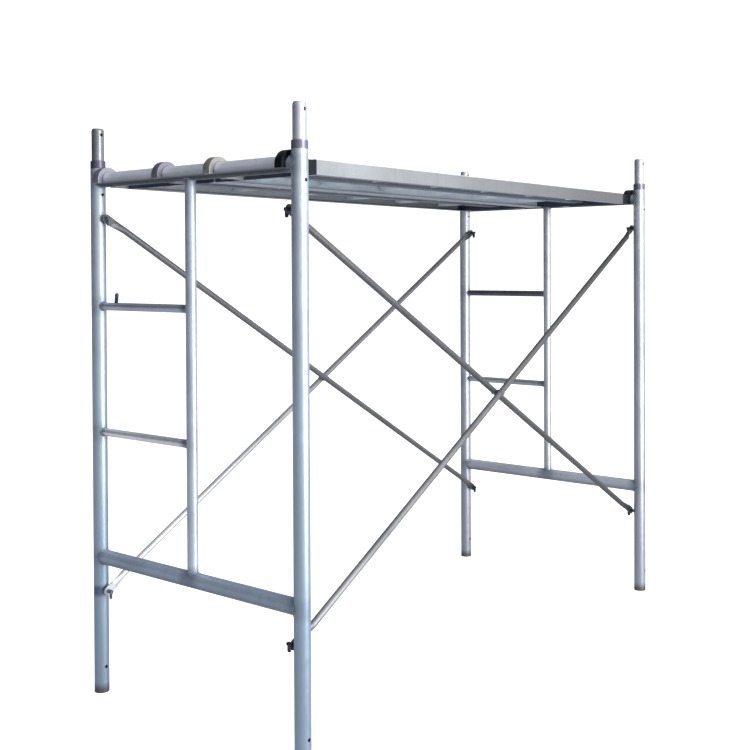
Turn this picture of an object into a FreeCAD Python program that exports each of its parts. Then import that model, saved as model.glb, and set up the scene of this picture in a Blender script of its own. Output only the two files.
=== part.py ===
import FreeCAD, Part
import Sketcher
import os

# Frame scaffold section: two ladder end frames, crossed braces and a hooked two-plank deck.
# Millimetres. +X runs along the bay from the left frame to the right frame, +Y across the frame
# from the near legs to the far legs, +Z up. The origin is on the ground, in the middle of the four legs.

Vector = FreeCAD.Vector
ALONG_X = Vector(1, 0, 0)
ALONG_Y = Vector(0, 1, 0)
ALONG_Z = Vector(0, 0, 1)

os.makedirs("parts", exist_ok=True)
doc = FreeCAD.newDocument("frame_scaffold")
sheet = doc.addObject("Spreadsheet::Sheet", "dims")

DRIVING = [
    ("bay_length", 2134.0),          # leg axis to leg axis along the bay, 7 ft
    ("frame_width", 900.0),          # leg axis to leg axis across a frame
    ("leg_height", 1718.0),
    ("leg_radius", 24.15),            # 48.3 mm scaffold tube, 2.4 mm wall
    ("leg_bore_radius", 21.75),
    ("seat_radius", 20.1),           # the leg's top is drawn in to grip the coupling pin
    ("seat_depth", 116.0),
    ("lock_hole_radius", 5.5),
    ("foot_hole_height", 85.0),      # lock hole above the leg's foot
    ("seat_hole_drop", 85.0),        # lock hole below the leg's top
    ("coupling_radius", 20.0),
    ("coupling_bore_radius", 16.8),
    ("coupling_stub", 110.0),        # hidden length inside the leg
    ("coupling_reach", 131.0),       # length above the leg's top
    ("coupling_nose", 7.0),          # length of the tapered tip
    ("coupling_nose_inset", 2.7),
    ("collar_height", 25.0),
    ("ledger_radius", 24.15),
    ("ledger_bore_radius", 21.75),
    ("bottom_ledger_height", 446.0),
    ("top_ledger_height", 1680.0),
    ("post_radius", 17.0),
    ("post_bore_radius", 15.0),
    ("rung_radius", 13.0),
    ("rung_bore_radius", 11.2),
    ("lower_rung_height", 857.0),
    ("upper_rung_height", 1268.0),
    ("peg_radius", 6.0),
    ("peg_length", 39.0),            # from the rung's axis
    ("peg_inset", 88.0),             # from the far leg's axis
    ("stud_low_height", 336.0),
    ("stud_spacing", 1219.0),        # low stud to high stud, 4 ft
    ("stud_radius", 6.0),
    ("stud_reach", 57.0),            # stud tip from the leg's axis
    ("fork_start", 43.5),            # the slot in the stud's tip starts here
    ("fork_gap", 4.2),
    ("pawl_pivot_inset", 50.5),      # pawl pivot from the leg's axis
    ("pawl_thickness", 3.6),
    ("pawl_half_width", 6.0),
    ("pawl_drop", 18.0),             # pivot to the lower rounding's centre
    ("pawl_hole_radius", 2.05),
    ("pawl_rivet_radius", 2.0),
    ("pawl_rivet_half_length", 5.6),
    ("brace_radius", 10.65),
    ("brace_bore_radius", 8.95),
    ("brace_flat_thickness", 5.0),
    ("brace_flat_half_width", 14.0),
    ("brace_flat_reach", 30.0),      # hole centre to the start of the flattened taper
    ("brace_taper_end", 78.0),       # hole centre to the start of the round tube
    ("brace_hole_radius", 6.6),
    ("brace_flat_offset", 9.0),      # the flat lies off the tube's axis
    ("outer_brace_inset", 26.0),     # tube axis of the brace next to the legs
    ("inner_brace_inset", 49.0),     # tube axis of the other brace
    ("pivot_radius", 4.0),
    ("pivot_hole_radius", 4.1),
    ("pivot_head_radius", 9.0),
    ("pivot_head_tip_radius", 5.4),
    ("pivot_head_height", 4.0),
    ("washer_radius", 10.0),
    ("plank_half_length", 970.0),
    ("plank_inner_edge", 5.0),       # each plank starts this far from the middle of the frame
    ("plank_outer_edge", 423.0),
    ("deck_top", 1700.0),
    ("sheet_thickness", 2.0),
    ("rail_height", 42.0),
    ("rail_flange", 26.0),
    ("rail_wall", 2.5),
    ("rib_half_width", 24.0),
    ("rib_height", 32.0),
    ("rib_wall", 2.0),
    ("crossbar_height", 24.0),
    ("crossbar_thickness", 3.0),
    ("end_cap_wall", 3.0),
    ("hook_inner_radius", 27.2),
    ("hook_outer_radius", 42.7),
    ("hook_width", 30.0),
    ("hook_lip", 10.0),
    ("hook_web", 8.0),
    ("hook_seat_drop", 2.7),         # the hook's centre hangs this far below the ledger's axis
    ("outer_hook_edge", 423.0),      # outboard face of the outer hook
    ("inner_hook_edge", 131.0),      # outboard face of the inner hook
    ("hook_web_top", 20.0),          # above the ledger's axis
    ("hook_web_bottom", 20.5),       # below the ledger's axis
    ("cut_margin", 1.0),             # how far a cutting tool stands out of what it cuts
]
for row, (alias, number) in enumerate(DRIVING, start=1):
    cell = "A%d" % row
    sheet.set(cell, str(number))
    sheet.setAlias(cell, alias)
doc.recompute()

CROSSBARS_PER_PLANK = 6
PEG_TILT = 8.0
SIDES = {"left": -1, "right": 1}
ROWS = {"near": -1, "far": 1}

nodes = {}


def size(alias):
    return float(sheet.get(alias))


def keep(obj, name):
    """Register a finished sub-part under the name of its file."""
    obj.Label = name
    nodes[name] = obj
    return obj


def bind(obj, **expressions):
    """Tie properties to the sheet, as in Radius="dims.leg_radius"."""
    for prop, expression in expressions.items():
        obj.setExpression(prop, expression)


def turn(axis):
    """Rotation that carries +Z onto an axis."""
    return FreeCAD.Rotation(ALONG_Z, axis)


# ---- Part primitives -------------------------------------------------------------------------

def rod(name, radius, length, start, axis):
    """A Part::Cylinder whose radius and length are sheet expressions."""
    cylinder = doc.addObject("Part::Cylinder", name)
    bind(cylinder, Radius=radius, Height=length)
    cylinder.Placement = FreeCAD.Placement(start, turn(axis))
    return cylinder


def block(name, length, width, height, corner):
    box = doc.addObject("Part::Box", name)
    bind(box, Length=length, Width=width, Height=height)
    box.Placement = FreeCAD.Placement(corner, FreeCAD.Rotation())
    return box


def cut(name, base, tools):
    """Take tools from a base, one Part::Cut after another."""
    result = base
    for number, tool in enumerate(tools, start=1):
        step = doc.addObject("Part::Cut", "%s_cut%d" % (name, number))
        step.Base = result
        step.Tool = tool
        result = step
    return result


def fuse(name, pieces):
    joined = doc.addObject("Part::MultiFuse", name)
    joined.Shapes = pieces
    joined.Refine = True
    return joined


def group(name, pieces):
    """Identical loose pieces kept as separate solids of one node."""
    compound = doc.addObject("Part::Compound", name)
    compound.Links = pieces
    return keep(compound, name)


# ---- PartDesign bodies ------------------------------------------------------------------------

def new_body(name):
    return keep(doc.addObject("PartDesign::Body", name), name)


def new_sketch(body, name, role, offset="0"):
    """An empty sketch on one of the body's origin planes, moved along its normal."""
    sketch = body.newObject("Sketcher::SketchObject", body.Name + "_" + name)
    plane = next(f for f in body.Origin.OriginFeatures if f.Role == role)
    sketch.AttachmentSupport = (plane, [""])
    sketch.MapMode = "FlatFace"
    sketch.setExpression("AttachmentOffset.Base.z", offset)
    return sketch


def number_of(expression):
    return float(sheet.evalExpression(expression))


def pin_point(sketch, geometry, point, across, up):
    """Hold a sketch point at sheet-driven coordinates."""
    for kind, expression in (("DistanceX", across), ("DistanceY", up)):
        index = sketch.addConstraint(
            Sketcher.Constraint(kind, -1, 1, geometry, point, number_of(expression)))
        sketch.setExpression("Constraints[%d]" % index, expression)


def add_circle(sketch, radius, across="0", up="0"):
    centre = Vector(number_of(across), number_of(up), 0)
    circle = sketch.addGeometry(Part.Circle(centre, ALONG_Z, number_of(radius)))
    pin_point(sketch, circle, 3, across, up)
    index = sketch.addConstraint(Sketcher.Constraint("Radius", circle, number_of(radius)))
    sketch.setExpression("Constraints[%d]" % index, radius)


def add_outline(sketch, corners):
    """A closed outline of straight lines through sheet-driven corners."""
    points = [Vector(number_of(across), number_of(up), 0) for across, up in corners]
    lines = []
    for start, end in zip(points, points[1:] + points[:1]):
        lines.append(sketch.addGeometry(Part.LineSegment(start, end)))
    for line, following in zip(lines, lines[1:] + lines[:1]):
        sketch.addConstraint(Sketcher.Constraint("Coincident", line, 2, following, 1))
    for line, (across, up) in zip(lines, corners):
        pin_point(sketch, line, 1, across, up)


def pad(body, sketch, length, midplane=False):
    feature = body.newObject("PartDesign::Pad", sketch.Name + "_pad")
    feature.Profile = sketch
    feature.setExpression("Length", length)
    feature.Midplane = midplane


def pocket_through(body, sketch):
    """Cut a sketch both ways through the body."""
    feature = body.newObject("PartDesign::Pocket", sketch.Name + "_pocket")
    feature.Profile = sketch
    feature.Type = "ThroughAll"
    feature.Midplane = True


# ---- End frames ---------------------------------------------------------------------------------

HALF_BAY = size("bay_length") / 2
HALF_WIDTH = size("frame_width") / 2


def leg_position(side, row, height=0.0):
    """A point on a leg's axis."""
    return Vector(SIDES[side] * HALF_BAY, ROWS[row] * HALF_WIDTH, height)


def leg_envelope(name, side, row):
    """A solid leg, which trims the tubes that are welded to it."""
    return rod(name, "dims.leg_radius", "dims.leg_height", leg_position(side, row), ALONG_Z)


def make_leg(side, row):
    """Upright tube, open at the foot, with a drawn-in seat at the top and two cross holes."""
    body = new_body("%s_%s_leg" % (side, row))
    ring = new_sketch(body, "tube", "XY_Plane")
    add_circle(ring, "dims.leg_radius")
    add_circle(ring, "dims.leg_bore_radius")
    pad(body, ring, "dims.leg_height")
    seat = new_sketch(body, "seat", "XY_Plane", "dims.leg_height - dims.seat_depth")
    add_circle(seat, "(dims.leg_radius + dims.leg_bore_radius) / 2")
    add_circle(seat, "dims.seat_radius")
    pad(body, seat, "dims.seat_depth")
    holes = new_sketch(body, "lock_holes", "XZ_Plane")
    add_circle(holes, "dims.lock_hole_radius", "0", "dims.foot_hole_height")
    add_circle(holes, "dims.lock_hole_radius", "0", "dims.leg_height - dims.seat_hole_drop")
    pocket_through(body, holes)
    body.Placement.Base = leg_position(side, row)


def make_coupling_pin(side, row):
    """Turned pin with a collar: its stub stands in the leg, its free end takes the next frame's leg."""
    body = new_body("%s_%s_coupling_pin" % (side, row))
    profile = new_sketch(body, "profile", "XZ_Plane")
    add_outline(profile, [
        ("dims.coupling_bore_radius", "-dims.coupling_stub"),
        ("dims.coupling_radius", "-dims.coupling_stub"),
        ("dims.coupling_radius", "0"),
        ("dims.leg_radius", "0"),
        ("dims.leg_radius", "dims.collar_height"),
        ("dims.coupling_radius", "dims.collar_height"),
        ("dims.coupling_radius", "dims.coupling_reach - dims.coupling_nose"),
        ("dims.coupling_radius - dims.coupling_nose_inset", "dims.coupling_reach"),
        ("dims.coupling_bore_radius", "dims.coupling_reach"),
    ])
    turned = body.newObject("PartDesign::Revolution", body.Name + "_turned")
    turned.Profile = profile
    turned.ReferenceAxis = (profile, ["V_Axis"])
    turned.Angle = 360
    holes = new_sketch(body, "lock_holes", "XZ_Plane")
    add_circle(holes, "dims.lock_hole_radius", "0", "-dims.seat_hole_drop")
    add_circle(holes, "dims.lock_hole_radius", "0", "dims.collar_height + dims.foot_hole_height")
    pocket_through(body, holes)
    body.Placement.Base = leg_position(side, row, size("leg_height"))


def make_ledger(side, level):
    """Cross tube of a frame, saddle-cut to both legs."""
    name = "%s_%s_ledger" % (side, level)
    start = leg_position(side, "near", size(level + "_ledger_height"))
    outer = rod(name + "_outer", "dims.ledger_radius", "dims.frame_width", start, ALONG_Y)
    bore = rod(name + "_bore", "dims.ledger_bore_radius", "dims.frame_width", start, ALONG_Y)
    legs = [leg_envelope("%s_%s_trim" % (name, row), side, row) for row in ROWS]
    keep(cut(name, outer, [bore] + legs), name)


def ledger_envelope(name, side, level):
    start = leg_position(side, "near", size(level + "_ledger_height"))
    return rod(name, "dims.ledger_radius", "dims.frame_width", start, ALONG_Y)


def post_envelope(name, side):
    foot = Vector(SIDES[side] * HALF_BAY, 0, size("bottom_ledger_height"))
    height = "dims.top_ledger_height - dims.bottom_ledger_height"
    return rod(name, "dims.post_radius", height, foot, ALONG_Z)


def make_inner_post(side):
    """Upright of the ladder, in the middle of the frame, between the two ledgers."""
    name = "%s_inner_post" % side
    outer = post_envelope(name + "_outer", side)
    height = "dims.top_ledger_height - dims.bottom_ledger_height"
    bore = rod(name + "_bore", "dims.post_bore_radius", height, outer.Placement.Base, ALONG_Z)
    ledgers = [ledger_envelope("%s_%s_trim" % (name, level), side, level) for level in ("bottom", "top")]
    keep(cut(name, outer, [bore] + ledgers), name)


def make_rung(side, level):
    """Step of the ladder, from the inner post to the far leg."""
    name = "%s_%s_rung" % (side, level)
    start = Vector(SIDES[side] * HALF_BAY, 0, size(level + "_rung_height"))
    half_width = "dims.frame_width / 2"
    outer = rod(name + "_outer", "dims.rung_radius", half_width, start, ALONG_Y)
    bore = rod(name + "_bore", "dims.rung_bore_radius", half_width, start, ALONG_Y)
    trims = [post_envelope(name + "_post_trim", side), leg_envelope(name + "_leg_trim", side, "far")]
    keep(cut(name, outer, [bore] + trims), name)


def make_rung_peg():
    """Short leaning peg on the left frame's upper rung, beside the far leg."""
    rung_axis = Vector(-HALF_BAY, HALF_WIDTH - size("peg_inset"), size("upper_rung_height"))
    lean = FreeCAD.Rotation(ALONG_X, PEG_TILT).multVec(ALONG_Z)
    shank = rod("peg_shank", "dims.peg_radius", "dims.peg_length", rung_axis, lean)
    tip = doc.addObject("Part::Sphere", "peg_tip")
    tip.setExpression("Radius", "dims.peg_radius")
    tip.Placement.Base = rung_axis + lean * size("peg_length")
    rung = rod("peg_trim", "dims.rung_radius", "dims.frame_width / 2",
               Vector(-HALF_BAY, 0, size("upper_rung_height")), ALONG_Y)
    keep(cut("left_rung_peg", fuse("peg_blank", [shank, tip]), [rung]), "left_rung_peg")


# ---- Brace studs and their drop locks ---------------------------------------------------------------

STUD_LEVELS = {"lower": size("stud_low_height"),
               "upper": size("stud_low_height") + size("stud_spacing")}


def inward(row):
    """Direction from a leg towards the middle of the frame."""
    return Vector(0, -ROWS[row], 0)


def stud_point(side, row, level, inset):
    """A point on a stud's axis, an inset away from the leg's axis."""
    return leg_position(side, row, STUD_LEVELS[level]) + inward(row) * inset


def make_stud(side, row, level):
    """Round stud on a leg's inner face, slotted at its tip for the drop lock."""
    name = "%s_%s_%s_stud" % (side, row, level)
    shank = rod(name + "_shank", "dims.stud_radius", "dims.stud_reach",
                stud_point(side, row, level, 0), inward(row))
    margin = size("cut_margin")
    slot_length = size("stud_reach") + margin - size("fork_start")
    slot_middle = stud_point(side, row, level, size("fork_start") + slot_length / 2)
    half_slot = Vector(size("fork_gap") / 2, slot_length / 2, size("stud_radius") + margin)
    slot = block(name + "_slot", "dims.fork_gap", "dims.stud_reach + dims.cut_margin - dims.fork_start",
                 "2 * (dims.stud_radius + dims.cut_margin)", slot_middle - half_slot)
    pivot = stud_point(side, row, level, size("pawl_pivot_inset"))
    eye = rod(name + "_eye", "dims.pawl_rivet_radius", "2 * (dims.stud_radius + dims.cut_margin)",
              pivot - ALONG_X * (size("stud_radius") + margin), ALONG_X)
    leg = leg_envelope(name + "_trim", side, row)
    return cut(name, shank, [slot, eye, leg])


def make_pawl_rivet(side, row, level):
    """Flush rivet across a stud's fork: it carries the drop lock."""
    centre = stud_point(side, row, level, size("pawl_pivot_inset"))
    return rod("%s_%s_%s_pawl_rivet" % (side, row, level),
               "dims.pawl_rivet_radius", "2 * dims.pawl_rivet_half_length",
               centre - ALONG_X * size("pawl_rivet_half_length"), ALONG_X)


def make_pawl(side, row, level):
    """Drop lock: a flat link that hangs from the stud's fork and keeps the brace on."""
    name = "%s_%s_%s_drop_lock" % (side, row, level)
    pivot = stud_point(side, row, level, size("pawl_pivot_inset"))
    face = ALONG_X * (size("pawl_thickness") / 2)
    drop = ALONG_Z * size("pawl_drop")
    half_width = size("pawl_half_width")
    top = rod(name + "_top", "dims.pawl_half_width", "dims.pawl_thickness", pivot - face, ALONG_X)
    tail = rod(name + "_tail", "dims.pawl_half_width", "dims.pawl_thickness",
               pivot - face - drop, ALONG_X)
    shank = block(name + "_shank", "dims.pawl_thickness", "2 * dims.pawl_half_width", "dims.pawl_drop",
                  pivot - face - drop - ALONG_Y * half_width)
    eye = rod(name + "_eye", "dims.pawl_hole_radius", "dims.pawl_thickness", pivot - face, ALONG_X)
    keep(cut(name, fuse(name + "_blank", [top, tail, shank]), [eye]), name)


# ---- Crossed braces -------------------------------------------------------------------------------

BRACE_LENGTH = "sqrt(dims.bay_length ^ 2 + dims.stud_spacing ^ 2)"
# the rising brace of each pair runs next to the legs, the falling one inboard of it
BRACES = {
    "rising": ("left", "right", "dims.outer_brace_inset", "dims.brace_flat_offset"),
    "falling": ("right", "left", "dims.inner_brace_inset", "-dims.brace_flat_offset"),
}


def add_ellipse(sketch, long_radius, short_radius, up):
    """An ellipse across the sketch, from sheet-driven radii and height."""
    centre = Vector(0, number_of(up), 0)
    wide = centre + Vector(number_of(long_radius), 0, 0)
    tall = centre + Vector(0, number_of(short_radius), 0)
    sketch.addGeometry(Part.Ellipse(wide, tall, centre))


def make_brace_end(body, label, hole, reach, taper_end, flat_offset):
    """Flattened eye and taper. The three heights are sheet expressions along the brace."""
    eye = new_sketch(body, label + "_eye", "XZ_Plane", "-(%s)" % flat_offset)
    add_circle(eye, "dims.brace_flat_half_width", "0", hole)
    pad(body, eye, "dims.brace_flat_thickness", midplane=True)
    strip = new_sketch(body, label + "_strip", "XZ_Plane", "-(%s)" % flat_offset)
    add_outline(strip, [
        ("-dims.brace_flat_half_width", hole),
        ("dims.brace_flat_half_width", hole),
        ("dims.brace_flat_half_width", reach),
        ("-dims.brace_flat_half_width", reach),
    ])
    pad(body, strip, "dims.brace_flat_thickness", midplane=True)
    narrow = new_sketch(body, label + "_narrow", "XY_Plane", reach)
    add_ellipse(narrow, "dims.brace_flat_half_width", "dims.brace_flat_thickness / 2", flat_offset)
    full = new_sketch(body, label + "_full", "XY_Plane", taper_end)
    add_circle(full, "dims.brace_radius")
    taper = body.newObject("PartDesign::AdditiveLoft", body.Name + "_" + label + "_taper")
    taper.Profile = narrow
    taper.Sections = [full]


def make_brace(row, slope):
    """Round tube with flattened eyes that drop over the studs."""
    low_side, high_side, inset, flat_offset = BRACES[slope]
    body = new_body("%s_%s_brace" % (row, slope))
    ring = new_sketch(body, "tube", "XY_Plane", "dims.brace_taper_end")
    add_circle(ring, "dims.brace_radius")
    add_circle(ring, "dims.brace_bore_radius")
    pad(body, ring, BRACE_LENGTH + " - 2 * dims.brace_taper_end")
    make_brace_end(body, "low", "0", "dims.brace_flat_reach", "dims.brace_taper_end", flat_offset)
    make_brace_end(body, "high", BRACE_LENGTH, BRACE_LENGTH + " - dims.brace_flat_reach",
                   BRACE_LENGTH + " - dims.brace_taper_end", flat_offset)
    holes = new_sketch(body, "holes", "XZ_Plane")
    add_circle(holes, "dims.brace_hole_radius", "0", "0")
    add_circle(holes, "dims.brace_hole_radius", "0", BRACE_LENGTH)
    add_circle(holes, "dims.pivot_hole_radius", "0", BRACE_LENGTH + " / 2")
    pocket_through(body, holes)
    low = stud_point(low_side, row, "lower", number_of(inset))
    high = stud_point(high_side, row, "upper", number_of(inset))
    along = (high - low).normalize()
    across = inward(row)
    body.Placement = FreeCAD.Placement(low, FreeCAD.Rotation(across.cross(along), across, along, "ZYX"))


def brace_crossing(row, inset):
    height = (STUD_LEVELS["lower"] + STUD_LEVELS["upper"]) / 2
    return Vector(0, ROWS[row] * (HALF_WIDTH - inset), height)


def make_pivot_rivet(row):
    """Rivet through both braces where they cross."""
    name = "%s_brace_pivot_rivet" % row
    radius = size("brace_radius")
    outer_face = brace_crossing(row, size("outer_brace_inset") - radius)
    inner_face = brace_crossing(row, size("inner_brace_inset") + radius)
    shaft = rod(name + "_shaft", "dims.pivot_radius",
                "dims.inner_brace_inset - dims.outer_brace_inset + 2 * dims.brace_radius",
                outer_face, inward(row))
    heads = []
    for label, seat, outwards in (("outer", outer_face, -inward(row)), ("inner", inner_face, inward(row))):
        head = doc.addObject("Part::Cone", "%s_%s_head" % (name, label))
        bind(head, Radius1="dims.pivot_head_radius", Radius2="dims.pivot_head_tip_radius",
             Height="dims.pivot_head_height")
        head.Placement = FreeCAD.Placement(seat, turn(outwards))
        heads.append(head)
    keep(fuse(name, [shaft] + heads), name)


def make_pivot_washer(row):
    """Thin washer between the two braces of a pair."""
    name = "%s_brace_washer" % row
    thickness = "dims.inner_brace_inset - dims.outer_brace_inset - 2 * dims.brace_radius"
    seat = brace_crossing(row, size("outer_brace_inset") + size("brace_radius"))
    disc = rod(name + "_disc", "dims.washer_radius", thickness, seat, inward(row))
    eye = rod(name + "_eye", "dims.pivot_hole_radius", thickness, seat, inward(row))
    return cut(name, disc, [eye])


# ---- Deck planks ------------------------------------------------------------------------------------

RAIL_TOP = "dims.deck_top - dims.sheet_thickness"
RAIL_BOTTOM = "dims.deck_top - dims.sheet_thickness - dims.rail_height"
FRAME_LENGTH = "2 * (dims.plank_half_length - dims.end_cap_wall)"
PLANK_MIDDLE = "(dims.plank_inner_edge + dims.plank_outer_edge) / 2"


def extrude_along_bay(name, row, corners, length):
    """Straight section along X. The corners are drawn for the far plank and mirrored for the near one."""
    body = new_body(name)
    section = new_sketch(body, "section", "YZ_Plane")
    add_outline(section, [("%d * (%s)" % (ROWS[row], across), up) for across, up in corners])
    pad(body, section, length, midplane=True)


def make_deck_sheet(row):
    extrude_along_bay(row + "_plank_deck_sheet", row, [
        ("dims.plank_inner_edge", RAIL_TOP),
        ("dims.plank_outer_edge", RAIL_TOP),
        ("dims.plank_outer_edge", "dims.deck_top"),
        ("dims.plank_inner_edge", "dims.deck_top"),
    ], "2 * dims.plank_half_length")


def make_rail(row, which):
    """Side channel of a plank, with its flanges turned in under the sheet."""
    edge, inwards = {"inner": ("dims.plank_inner_edge", "+"), "outer": ("dims.plank_outer_edge", "-")}[which]
    flange_tip = "%s %s dims.rail_flange" % (edge, inwards)
    web_inside = "%s %s dims.rail_wall" % (edge, inwards)
    extrude_along_bay("%s_plank_%s_rail" % (row, which), row, [
        (edge, RAIL_BOTTOM),
        (flange_tip, RAIL_BOTTOM),
        (flange_tip, RAIL_BOTTOM + " + dims.rail_wall"),
        (web_inside, RAIL_BOTTOM + " + dims.rail_wall"),
        (web_inside, RAIL_TOP + " - dims.rail_wall"),
        (flange_tip, RAIL_TOP + " - dims.rail_wall"),
        (flange_tip, RAIL_TOP),
        (edge, RAIL_TOP),
    ], FRAME_LENGTH)


def make_rib(row):
    """Trough-shaped stiffener along the middle of a plank, open towards the sheet."""
    left = PLANK_MIDDLE + " - dims.rib_half_width"
    right = PLANK_MIDDLE + " + dims.rib_half_width"
    bottom = RAIL_TOP + " - dims.rib_height"
    extrude_along_bay(row + "_plank_rib", row, [
        (left, RAIL_TOP),
        (left, bottom),
        (right, bottom),
        (right, RAIL_TOP),
        (right + " - dims.rib_wall", RAIL_TOP),
        (right + " - dims.rib_wall", bottom + " + dims.rib_wall"),
        (left + " + dims.rib_wall", bottom + " + dims.rib_wall"),
        (left + " + dims.rib_wall", RAIL_TOP),
    ], FRAME_LENGTH)


def plank_corner(row, low_across, high_across):
    """The lower Y of a stretch across a plank, whichever side of the frame the plank is on."""
    return min(ROWS[row] * low_across, ROWS[row] * high_across)


def make_crossbars(row):
    """Flat stiffeners across the plank, from the rib to each rail."""
    name = row + "_plank_crossbars"
    middle = number_of(PLANK_MIDDLE)
    half_rib = size("rib_half_width")
    reach = "(dims.plank_outer_edge - dims.plank_inner_edge) / 2 - dims.rib_half_width - dims.rail_wall"
    stretches = {
        "inner": (size("plank_inner_edge") + size("rail_wall"), middle - half_rib),
        "outer": (middle + half_rib, size("plank_outer_edge") - size("rail_wall")),
    }
    floor = number_of(RAIL_TOP) - size("rail_wall") - size("crossbar_height")
    pitch = 2 * size("plank_half_length") / CROSSBARS_PER_PLANK
    bars = []
    for number in range(CROSSBARS_PER_PLANK):
        x = -size("plank_half_length") + pitch * (number + 0.5)    # in the middle of its pitch
        for label, (low, high) in stretches.items():
            corner = Vector(x - size("crossbar_thickness") / 2, plank_corner(row, low, high), floor)
            bars.append(block("%s_%s%d" % (name, label, number + 1),
                              "dims.crossbar_thickness", reach, "dims.crossbar_height", corner))
    group(name, bars)


def make_end_cap(row, side):
    """Plate that closes a plank's end and carries its hooks."""
    name = "%s_plank_%s_end_cap" % (row, side)
    outer_face = SIDES[side] * size("plank_half_length")
    inner_face = SIDES[side] * (size("plank_half_length") - size("end_cap_wall"))
    corner = Vector(min(outer_face, inner_face),
               plank_corner(row, size("plank_inner_edge"), size("plank_outer_edge")),
               number_of(RAIL_BOTTOM))
    keep(block(name, "dims.end_cap_wall", "dims.plank_outer_edge - dims.plank_inner_edge",
               "dims.rail_height", corner), name)


def make_hook(name, row, side, edge):
    """Strap bent over the top ledger, with a web that joins it to the plank's end cap."""
    towards_middle = -ROWS[row]
    away = SIDES[side]
    centre = Vector(away * HALF_BAY, ROWS[row] * edge, size("top_ledger_height") - size("hook_seat_drop"))
    inner, outer = size("hook_inner_radius"), size("hook_outer_radius")
    across = Vector(0, towards_middle, 0)
    width = size("hook_width")
    strap_low = min(centre.y, centre.y + towards_middle * width)
    web_low = min(centre.y, centre.y + towards_middle * size("hook_web"))
    lip = size("hook_lip")
    web_bottom = size("hook_web_bottom")
    arch = cut(name + "_arch",
               rod(name + "_arch_outer", "dims.hook_outer_radius", "dims.hook_width", centre, across),
               [block(name + "_below", "2 * dims.hook_outer_radius", "dims.hook_width",
                      "dims.hook_outer_radius", Vector(centre.x - outer, strap_low, centre.z - outer))])
    lip_x = centre.x + (inner if away > 0 else -outer)
    root_x = centre.x + (-outer if away > 0 else inner)
    plank_end = away * size("plank_half_length")
    web_x = min(plank_end, centre.x - away * inner)
    outer_lip = block(name + "_lip", "dims.hook_outer_radius - dims.hook_inner_radius", "dims.hook_width",
                      "dims.hook_lip", Vector(lip_x, strap_low, centre.z - lip))
    root = block(name + "_root", "dims.hook_outer_radius - dims.hook_inner_radius", "dims.hook_width",
                 "dims.hook_web_bottom", Vector(root_x, strap_low, centre.z - web_bottom))
    web = block(name + "_web", "dims.bay_length / 2 - dims.hook_inner_radius - dims.plank_half_length",
                "dims.hook_web", "dims.hook_web_bottom + dims.hook_web_top",
                Vector(web_x, web_low, centre.z - web_bottom))
    throat = rod(name + "_throat", "dims.hook_inner_radius", "dims.hook_width", centre, across)
    return cut(name, fuse(name + "_blank", [arch, outer_lip, root, web]), [throat])


def make_plank(row):
    make_deck_sheet(row)
    for which in ("inner", "outer"):
        make_rail(row, which)
    make_rib(row)
    make_crossbars(row)
    for side in SIDES:
        make_end_cap(row, side)
    edges = {"outer": size("outer_hook_edge"), "inner": size("inner_hook_edge")}
    group(row + "_plank_hooks", [
        make_hook("%s_%s_%s_hook" % (row, side, which), row, side, edge)
        for side in SIDES for which, edge in edges.items()])


# ---- Assembly ---------------------------------------------------------------------------------------

for side in SIDES:
    for row in ROWS:
        make_leg(side, row)
        make_coupling_pin(side, row)
        group("%s_%s_brace_studs" % (side, row),
              [make_stud(side, row, level) for level in STUD_LEVELS])
        for level in STUD_LEVELS:
            make_pawl(side, row, level)
    for level in ("bottom", "top"):
        make_ledger(side, level)
    make_inner_post(side)
    for level in ("lower", "upper"):
        make_rung(side, level)
make_rung_peg()
group("drop_lock_rivets", [make_pawl_rivet(side, row, level)
                           for side in SIDES for row in ROWS for level in STUD_LEVELS])
for row in ROWS:
    for slope in BRACES:
        make_brace(row, slope)
    make_pivot_rivet(row)
    make_plank(row)
group("brace_pivot_washers", [make_pivot_washer(row) for row in ROWS])

doc.recompute()
for obj in doc.Objects:
    if "Invalid" in obj.State or "Error" in obj.State:
        raise RuntimeError("%s failed to build: %s" % (obj.Label, obj.State))
for name, obj in nodes.items():
    if obj.Shape.isNull() or not obj.Shape.isValid() or not obj.Shape.Solids:
        raise RuntimeError(name + " has no valid solid")
for name, obj in nodes.items():
    obj.Shape.exportStep("parts/%s.step" % name)
    box = obj.Shape.BoundBox
    print("%-34s solids %2d  volume %10.0f  x %8.1f %8.1f  y %7.1f %7.1f  z %7.1f %7.1f" % (
        name, len(obj.Shape.Solids), obj.Shape.Volume,
        box.XMin, box.XMax, box.YMin, box.YMax, box.ZMin, box.ZMax))
print(len(nodes), "nodes")
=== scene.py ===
"""Looks for the frame scaffold section: zinc finishes with painted light and shade, weld beads, pressed
deck sheets and a studio.

Metres, in the frame of the CAD model: +X along the bay, +Y from the near legs to the far legs, +Z up.
"""

import math

import bmesh
import bpy
from mathutils import Matrix, Vector


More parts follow.
